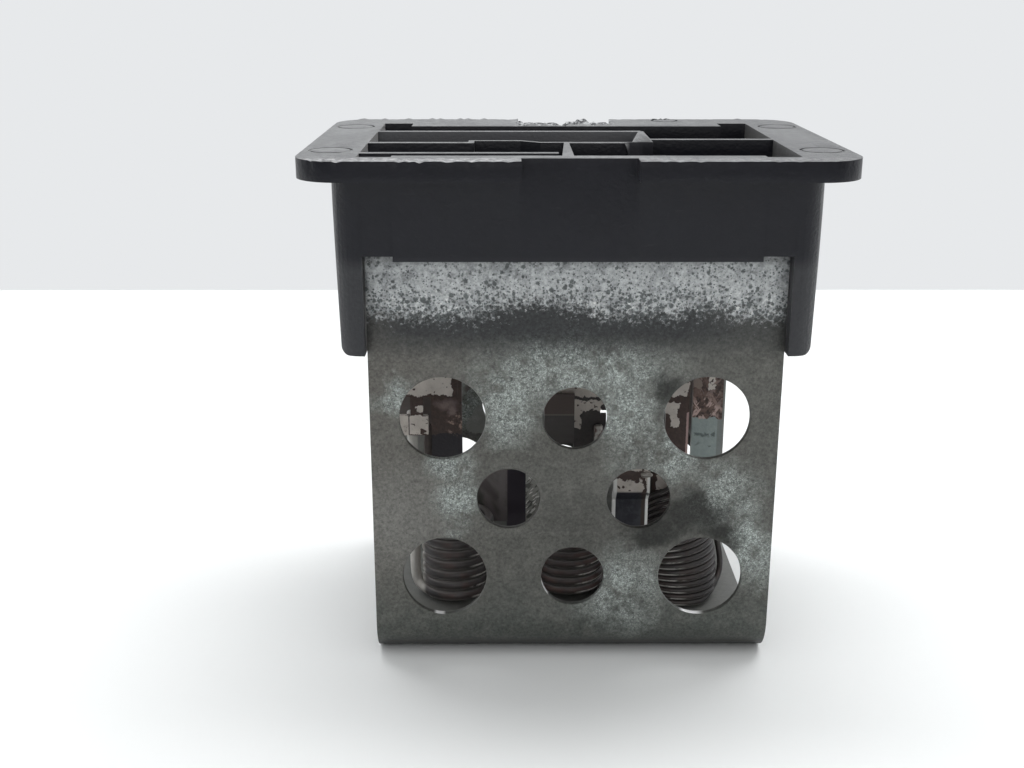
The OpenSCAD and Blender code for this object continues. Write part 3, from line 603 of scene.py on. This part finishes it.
def smooth(mesh, angle):
    mesh.shade_smooth()
    mesh.set_sharp_from_angle(angle=math.radians(angle))


def cut(bm, axis, places, merge):
    """Adds edges where planes across one axis pass through the mesh."""
    normal = Vector((0, 0, 0))
    normal[axis] = 1
    for place in places:
        bmesh.ops.bisect_plane(bm, geom=bm.verts[:] + bm.edges[:] + bm.faces[:], dist=merge,
                               plane_co=normal * place, plane_no=normal)


def circle(x, y, d, count=72):
    return [(x + d / 2 * math.cos(2 * math.pi * i / count),
             y + d / 2 * math.sin(2 * math.pi * i / count)) for i in range(count)]


# Heat shield: cut flat with its vents, its edges eased, then folded

SHEET_T = 0.8
SHIELD_W = 47.4
SHIELD_H = 50.4
FOLD_R = 5.0
FACE = 18.25
TAB_W, TAB_H, TAB_X = 6.0, 1.8, 12.0
VENT_BIG, VENT_SMALL = 10.0, 7.5
VENT_PITCH, ROW_PITCH, ROW_Z = 15.3, 10.0, 11.1
EDGE_EASE = 0.09
MID_R = FOLD_R - SHEET_T / 2
STRAIGHT = SHIELD_H - FOLD_R
ARC = MID_R * math.pi / 2
ARC_STEPS = 14
FLOOR = 2 * (FACE - FOLD_R)
FLAT_L = 2 * STRAIGHT + 2 * ARC + FLOOR


def fold(x, s, n):
    """Where a point of the flat sheet goes; n is its height above the middle of the sheet."""
    mid = FACE - SHEET_T / 2
    if s < STRAIGHT:
        return x, -mid - n, SHIELD_H - s
    s -= STRAIGHT
    if s < ARC:
        a = s / MID_R
        return x, -FACE + FOLD_R - (MID_R + n) * math.cos(a), FOLD_R - (MID_R + n) * math.sin(a)
    s -= ARC
    if s < FLOOR:
        return x, -FACE + FOLD_R + s, SHEET_T / 2 - n
    s -= FLOOR
    if s < ARC:
        a = s / MID_R
        return x, FACE - FOLD_R + (MID_R + n) * math.sin(a), FOLD_R - (MID_R + n) * math.cos(a)
    return x, mid + n, FOLD_R + s - ARC


def flat_outline():
    half = SHIELD_W / 2
    top = []
    for x in (-TAB_X, TAB_X):
        left, right = x - TAB_W / 2, x + TAB_W / 2
        top += [(left, 0), (left, -TAB_H), (right, -TAB_H), (right, 0)]
    low = [(-x, FLAT_L - y) for x, y in top]
    return [(-half, 0)] + top + [(half, 0), (half, FLAT_L)] + low + [(-half, FLAT_L)]


def flat_vents():
    """The vents of the front plate and then of the back one; columns are in vent pitches."""
    vents = [(col, row, VENT_BIG if col else VENT_SMALL) for row in (0, 2) for col in (-1, 0, 1)]
    vents += [(col, 1, VENT_SMALL) for col in (-0.5, 0.5)]
    loops = []
    for back in (False, True):
        for col, row, d in vents:
            down = SHIELD_H - ROW_Z - ROW_PITCH * row
            loops.append(circle(VENT_PITCH * col, FLAT_L - down if back else down, d))
    return loops


def flat_sheet():
    curve = bpy.data.curves.new("flat_sheet", "CURVE")
    curve.dimensions = "2D"
    curve.fill_mode = "BOTH"
    curve.extrude = SHEET_T / 2 - EDGE_EASE
    curve.bevel_depth = EDGE_EASE
    curve.bevel_resolution = 1
    curve.offset = -EDGE_EASE
    for loop in [flat_outline()] + flat_vents():
        spline = curve.splines.new("POLY")
        spline.points.add(len(loop) - 1)
        for point, (x, y) in zip(spline.points, loop):
            point.co = (x, y, 0, 1)
        spline.use_cyclic_u = True
    maker = bpy.data.objects.new("flat_sheet", curve)
    bpy.context.scene.collection.objects.link(maker)
    graph = bpy.context.evaluated_depsgraph_get()
    mesh = bpy.data.meshes.new_from_object(maker.evaluated_get(graph))
    bpy.data.objects.remove(maker)
    return mesh


def shield_piece(look):
    mesh = flat_sheet()
    bm = bmesh.new()
    bm.from_mesh(mesh)
    bmesh.ops.remove_doubles(bm, verts=bm.verts, dist=0.002)
    for start in (STRAIGHT, STRAIGHT + ARC + FLOOR):
        cut(bm, 1, [start + ARC * i / ARC_STEPS for i in range(ARC_STEPS + 1)], 1e-5)
    for v in bm.verts:
        v.co = Vector(fold(*v.co)) * MM
    bmesh.ops.triangulate(bm, faces=[f for f in bm.faces if len(f.verts) > 4])
    bmesh.ops.recalc_face_normals(bm, faces=bm.faces)
    bm.to_mesh(mesh)
    bm.free()
    mesh.name = "shield_sheet"
    smooth(mesh, 25)
    piece = add_piece("shield_sheet", mesh, look)
    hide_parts("heat_shield")


# Head: the moulding with eased edges, its torn back notch and chipped lip

TEAR_HALF = 6.6
CORNER_EASE = 0.14
SLICE = 0.55
SLICES = 56
CUTS_Y = (-17.0, -16.8, -5.2, -5.0, 15.9, 16.5, 17.0, 17.5, 18.0, 18.5, 19.0, 19.5, 21.0)
TEAR_FLOOR = 59.6
DIVIDER_DROP = 2.4


def wear(x, y, z):
    """How far damage has moved a point of the head."""
    move = Vector((0, 0, 0))
    rag = noise.noise(Vector((x * 0.9, y * 0.9, z * 0.9)))
    fine = noise.noise(Vector((x * 2.3 + 7, y * 2.3, z * 2.3)))
    if abs(x) < TEAR_HALF and y > 15.8 and z > 60.0:
        # the torn patch behind the back notch, with a lump of plastic
        tear = min(1, (TEAR_HALF - abs(x)) / 0.6)
        lump = math.exp(-((x - 1.9) / 1.2) ** 2 - ((y - 18.2) / 1.3) ** 2)
        move.z = tear * (0.4 * rag + 0.45 * fine - 0.15) + 0.75 * lump
        move.y = tear * (0.3 * fine if y > 20.4 else 0)
    elif 6.2 < abs(x) < 9 and y > 19.5 and z > 58.9:
        # the notch's two ends
        move.z = -0.12 * abs(fine)
        move.y = 0.25 * rag
    elif 6.5 < x < 10.0 and -16.9 < y < -5.1 and z > 60.0:
        # the front stretch of the divider right of the middle
        move.z = -DIVIDER_DROP
    elif y < -21.6 and z > 60.6:
        # the front lip, chipped most on the left
        chip = max(0, (rag + 0.8 * fine) * (1.3 if x < -4 else 0.7) - 0.15)
        move.y = 0.3 * chip
        move.z = -0.3 * chip
    elif y > 21.6 and z > 60.6:
        # the back lip, nicked, with small burrs
        move.z = -0.12 * max(0, fine) + (0.18 if fine > 0.35 else 0)
    return move


def head_piece(look):
    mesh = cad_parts["head"].data.copy()
    mesh.name = "head_moulding"
    bm = bmesh.new()
    bm.from_mesh(mesh)
    bmesh.ops.remove_doubles(bm, verts=bm.verts, dist=2e-6)
    bmesh.ops.dissolve_limit(bm, angle_limit=math.radians(1.0), verts=bm.verts, edges=bm.edges)
    sharp = [e for e in bm.edges if len(e.link_faces) == 2 and e.calc_face_angle(0) > 0.6]
    bmesh.ops.bevel(bm, geom=sharp, offset=CORNER_EASE * MM, segments=2, profile=0.5,
                    affect="EDGES", clamp_overlap=True)
    cut(bm, 0, [i * SLICE * MM for i in range(-SLICES, SLICES + 1)], 1e-7)
    cut(bm, 1, [y * MM for y in CUTS_Y], 1e-7)
    cut(bm, 2, [TEAR_FLOOR * MM], 1e-7)
    for v in bm.verts:
        v.co += wear(*(v.co / MM)) * MM
    bmesh.ops.triangulate(bm, faces=[f for f in bm.faces if len(f.verts) > 4])
    bm.to_mesh(mesh)
    bm.free()
    smooth(mesh, 25)
    piece = add_piece("head_moulding", mesh, look)
    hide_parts("head")


# Wires: round tubes along the coils' paths, with their leads on the faces of the strips

FRONT_STRIP = -7.6
PAD_FRONT = -2.1
STRIP_FACE = 3.6
STRIP_BACK = 4.4
WELD_GAP = 0.05
COIL_BASE = 1.1
REACH = 3
LEAD_FOOT = 5
DOWN = Vector((0, 0, -1))
POINT_STEP = 7.5
TUBE_SIDES = 14
# A tube's rounded ends: shares of its radius, and how far out each ring lies, in diameters
END_RINGS = ((0.45, 0.168), (0.85, 0.1225), (1.0, 0.0))


def unit(v):
    return v / v.length


def hermite(p, p_dir, q, q_dir, reach, count=14):
    """A smooth bend from one point and direction to another."""
    b, c = p + p_dir * reach, q - q_dir * reach
    return [p * (1 - t) ** 3 + 3 * b * t * (1 - t) ** 2 + 3 * c * t * t * (1 - t) + q * t ** 3
            for t in (i / count for i in range(count + 1))]


def tube_mesh(name, path, d):
    path = [path[0]] + [b for a, b in zip(path, path[1:]) if (b - a).length > 1e-4]
    last = len(path) - 1
    turns = [2 * math.pi * j / TUBE_SIDES for j in range(TUBE_SIDES)]
    bm = bmesh.new()
    side = None
    rings = []
    for i, p in enumerate(path):
        way = unit(path[min(i + 1, last)] - path[max(i - 1, 0)])
        if side is None:
            side = unit(way.orthogonal())
        side = unit(side - way * side.dot(way))
        other = way.cross(side)
        shares, out = ((1.0, 0.0),), way
        if i == 0:
            shares, out = END_RINGS, -way
        elif i == last:
            shares = END_RINGS[::-1]
        for share, away in shares:
            rings.append([bm.verts.new((p + out * (away * d) + d / 2 * share * (
                side * math.cos(turn) + other * math.sin(turn))) * MM) for turn in turns])
    for low, high in zip(rings, rings[1:]):
        for j in range(TUBE_SIDES):
            k = (j + 1) % TUBE_SIDES
            bm.faces.new((low[j], low[k], high[k], high[j]))
    bm.faces.new(rings[0][::-1])
    bm.faces.new(rings[-1])
    bmesh.ops.recalc_face_normals(bm, faces=bm.faces)
    mesh = bpy.data.meshes.new(name)
    bm.to_mesh(mesh)
    bm.free()
    smooth(mesh, 50)
    return mesh


def leaned(v, lean):
    c, s = math.cos(lean), math.sin(lean)
    return Vector((v.x * c - v.z * s, v.y, v.x * s + v.z * c))


class Coil:
    """The turns of one coil: its back touches the strip, and its axis may bend to the left.

    hand is 1 or -1, the way it winds; start, end and lean are degrees, as is POINT_STEP.
    """

    def __init__(self, x, outer_d, wire_d, pitch, hand, start, end, lean=0.01):
        self.r = (outer_d - wire_d) / 2
        self.pitch, self.hand, self.lean = pitch, hand, math.radians(lean)
        self.start, self.end, self.d = start, end, wire_d
        self.foot = Vector((x, STRIP_FACE - WELD_GAP - wire_d / 2 - self.r,
                            COIL_BASE + wire_d / 2))
        self.bend_r = pitch * (end - start) / 360 / self.lean

    def bent(self, a):
        return self.lean * (a - self.start) / (self.end - self.start)

    def at(self, a):
        turn, bent = math.radians(self.hand * a), self.bent(a)
        axis = Vector((-self.bend_r * (1 - math.cos(bent)), 0, self.bend_r * math.sin(bent)))
        ring = Vector((self.r * math.cos(turn), self.r * math.sin(turn), 0))
        return self.foot + axis + leaned(ring, bent)

    def way(self, a):
        turn = math.radians(self.hand * a)
        return leaned(unit(Vector((-math.sin(turn) * self.hand, math.cos(turn) * self.hand,
                                   self.pitch / (2 * math.pi * self.r)))), self.bent(a))

    def turns(self):
        count = math.ceil((self.end - self.start) / POINT_STEP)
        return [self.at(self.start + (self.end - self.start) * i / count)
                for i in range(1, count)]


def lead_down(start, coil, reach):
    """From a point going straight down, into the start of the coil."""
    return hermite(start, DOWN, coil.at(coil.start), coil.way(coil.start), reach)


def lead_up(coil, x, y, over):
    """From the end of the coil, bending to go straight up, and on up by over."""
    top = coil.at(coil.end)
    rise = Vector((top.x if x is None else x, top.y if y is None else y, top.z + REACH))
    return hermite(top, coil.way(coil.end), rise, -DOWN, REACH / 2) + [rise + Vector((0, 0, over))]


def add_winding(name, path, coil, look, node):
    piece = add_piece(name, tube_mesh(name, path, coil.d), look)
    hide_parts(node)


def coil_pieces(looks):
    coil = Coil(-14.4, 9.6, 1.4, 1.46, 1, -145, 2250)
    pad = Vector((-20.1, PAD_FRONT + WELD_GAP + coil.d / 2, 26.2))
    path = [pad] + lead_down(Vector((pad.x, pad.y, LEAD_FOOT)), coil, REACH)
    path += coil.turns() + lead_up(coil, -15.9, None, 1.5)
    add_winding("left_winding", path, coil, looks[0], "left_coil")

    coil = Coil(0.6, 9.1, 1.15, 1.25, 1, 0, 2900)
    foot = Vector((6.575, FRONT_STRIP + WELD_GAP + coil.d / 2, 15))
    path = [foot] + lead_down(Vector((foot.x, foot.y, LEAD_FOOT)), coil, REACH)
    path += coil.turns() + lead_up(coil, None, STRIP_FACE - WELD_GAP - coil.d / 2,
                                   22.8 - REACH - coil.at(coil.end).z)
    add_winding("middle_winding", path, coil, looks[1], "middle_coil")

    coil = Coil(14.9, 10.6, 0.8, 0.87, -1, 60, 4950, 18)
    back = Vector((18.9, STRIP_BACK + WELD_GAP + coil.d / 2, 16.1))
    low = Vector((coil.foot.x + coil.r + coil.d + WELD_GAP, coil.foot.y, LEAD_FOOT))
    path = [back + Vector((0, 0, 4.5))] + hermite(back, DOWN, low, DOWN, REACH)
    path += lead_down(low + DOWN / 2, coil, REACH / 2)
    path += coil.turns() + lead_up(coil, coil.foot.x, None, 1.5)
    add_winding("right_winding", path, coil, looks[2], "right_coil")


# Weld beads and rust lumps: name, place, size and seed of each

WELDS = (("weld_link", (9.45, -9.9, 20.9), (0.75, 0.35, 0.4), 1),
         ("weld_pad", (-20.1, -2.0, 24.9), (0.7, 0.5, 0.9), 2),
         ("weld_front_leg", (6.575, -7.4, 13.6), (0.5, 0.4, 0.8), 3))
RUSTY_BEADS = (("weld_left", (-15.9, 3.4, 16.6), (0.8, 0.4, 0.9), 4),
               ("weld_middle", (4.33, 3.4, 22.2), (0.7, 0.4, 0.8), 7),
               ("weld_inner", (11.75, 4.0, 14.9), (0.6, 0.38, 2.9), 6),
               ("rust_inner", (13.3, 3.9, 12.9), (1.5, 0.35, 1.0), 9),
               ("rust_left", (-18.3, 3.95, 19.7), (0.75, 0.35, 3.0), 8),
               ("weld_right", (18.9, 4.55, 19.2), (0.5, 0.38, 0.9), 5))


def blobs(beads, look):
    """Squashed, uneven balls."""
    for name, centre, size, seed in beads:
        bm = bmesh.new()
        bmesh.ops.create_icosphere(bm, subdivisions=4, radius=1)
        for v in bm.verts:
            bump = 1 + 0.22 * noise.noise(v.co * 1.7 + Vector((seed, 0, 0)))
            v.co = (Vector(centre) + Vector([c * s * bump for c, s in zip(v.co, size)])) * MM
        mesh = bpy.data.meshes.new(name)
        bm.to_mesh(mesh)
        bm.free()
        mesh.shade_smooth()
        add_piece(name, mesh, look)


# Stage: a pale floor and wall, soft light

FAR = 1500
WALL_Y = 180.5
FLOOR_COLOR = (0.93, 0.95, 0.95)
WALL_COLOR = (0.8, 0.8, 0.81)
WALL_SEEN = (0.8, 0.815, 0.83)
FRONT_LEVEL = 0.11
SKY_LEVEL = 0.75
WINDOW_POWER = 2.45
FRONT_POWER = 0.15


def stage_look(name, color, seen=None):
    """A dull paint; seen is a plain colour that the camera and glossy rays see instead."""
    mat = bpy.data.materials.new(name)
    mat.use_nodes = True
    tree = mat.node_tree
    shader = tree.nodes["Principled BSDF"]
    shader.inputs["Base Color"].default_value = (*color, 1)
    shader.inputs["Roughness"].default_value = 0.6
    shader.inputs["Specular IOR Level"].default_value = 0.2
    if seen:
        glow = tree.nodes.new("ShaderNodeEmission")
        glow.inputs["Color"].default_value = (*seen, 1)
        path = tree.nodes.new("ShaderNodeLightPath")
        either = tree.nodes.new("ShaderNodeMath")
        either.operation = "MAXIMUM"
        tree.links.new(path.outputs["Is Camera Ray"], either.inputs[0])
        tree.links.new(path.outputs["Is Glossy Ray"], either.inputs[1])
        pick = tree.nodes.new("ShaderNodeMixShader")
        tree.links.new(either.outputs[0], pick.inputs[0])
        tree.links.new(shader.outputs[0], pick.inputs[1])
        tree.links.new(glow.outputs[0], pick.inputs[2])
        tree.links.new(pick.outputs[0], tree.nodes["Material Output"].inputs["Surface"])
    return mat


def add_plane(name, corners, look):
    mesh = bpy.data.meshes.new(name)
    mesh.from_pydata([Vector(c) * MM for c in corners], [], [range(len(corners))])
    mesh.materials.append(look)
    obj = bpy.data.objects.new(name, mesh)
    bpy.context.scene.collection.objects.link(obj)


def add_area(name, place, aim, size, power):
    data = bpy.data.lights.new(name, "AREA")
    data.shape = "RECTANGLE"
    data.size, data.size_y = size[0] * MM, size[1] * MM
    data.energy = power
    lamp = bpy.data.objects.new(name, data)
    lamp.location = Vector(place) * MM
    lamp.rotation_euler = (Vector(place) - Vector(aim)).to_track_quat("Z", "Y").to_euler()
    bpy.context.scene.collection.objects.link(lamp)


def add_world():
    """Soft light from all around, brighter from above and behind than from the front."""
    world = bpy.data.worlds.new("studio")
    world.use_nodes = True
    tree = world.node_tree
    coord = tree.nodes.new("ShaderNodeTexCoord")
    split = tree.nodes.new("ShaderNodeSeparateXYZ")
    tree.links.new(coord.outputs["Generated"], split.inputs[0])
    behind = tree.nodes.new("ShaderNodeMath")
    behind.operation = "ADD"
    behind.inputs[1].default_value = 0.35
    tree.links.new(split.outputs["Y"], behind.inputs[0])
    lift = tree.nodes.new("ShaderNodeMath")
    lift.operation = "MAXIMUM"
    tree.links.new(behind.outputs[0], lift.inputs[0])
    tree.links.new(split.outputs["Z"], lift.inputs[1])
    level = tree.nodes.new("ShaderNodeMapRange")
    level.interpolation_type = "SMOOTHSTEP"
    tree.links.new(lift.outputs[0], level.inputs["Value"])
    for name, value in (("From Min", -0.25), ("From Max", 0.8), ("To Min", FRONT_LEVEL),
                        ("To Max", SKY_LEVEL)):
        level.inputs[name].default_value = value
    glow = tree.nodes["Background"]
    glow.inputs["Color"].default_value = (1, 1, 1, 1)
    tree.links.new(level.outputs[0], glow.inputs["Strength"])
    bpy.context.scene.world = world


def add_stage():
    near_left, near_right = (-FAR, -FAR, 0), (FAR, -FAR, 0)
    left, right = (-FAR, WALL_Y, 0), (FAR, WALL_Y, 0)
    high_left, high_right = (-FAR, WALL_Y, FAR), (FAR, WALL_Y, FAR)
    add_plane("floor", [near_left, near_right, right, left], stage_look("pale_floor", FLOOR_COLOR))
    add_plane("wall", [left, right, high_right, high_left],
              stage_look("pale_wall", WALL_COLOR, WALL_SEEN))
    add_world()
    add_area("window", (20, 150, 430), (0, 0, 0), (520, 240), WINDOW_POWER)
    add_area("front", (-8, -390, 230), (0, 0, 20), (200, 140), FRONT_POWER)
    bpy.context.scene.view_settings.view_transform = "Standard"


def dress():
    head_piece(plastic_look())
    shield_piece(shield_look())
    coil_pieces(wire_looks())
    carried = {"common_terminal": common_look, "left_terminal": left_look,
               "middle_terminal": middle_look, "link_terminal": link_look,
               "right_terminal": right_look, "thermal_fuse": can_look}
    for node, look in carried.items():
        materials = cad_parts[node].data.materials
        materials.clear()
        materials.append(look())
    blobs(WELDS, weld_look())
    blobs(RUSTY_BEADS, rusty_look())


add_camera()
add_stage()
dress()
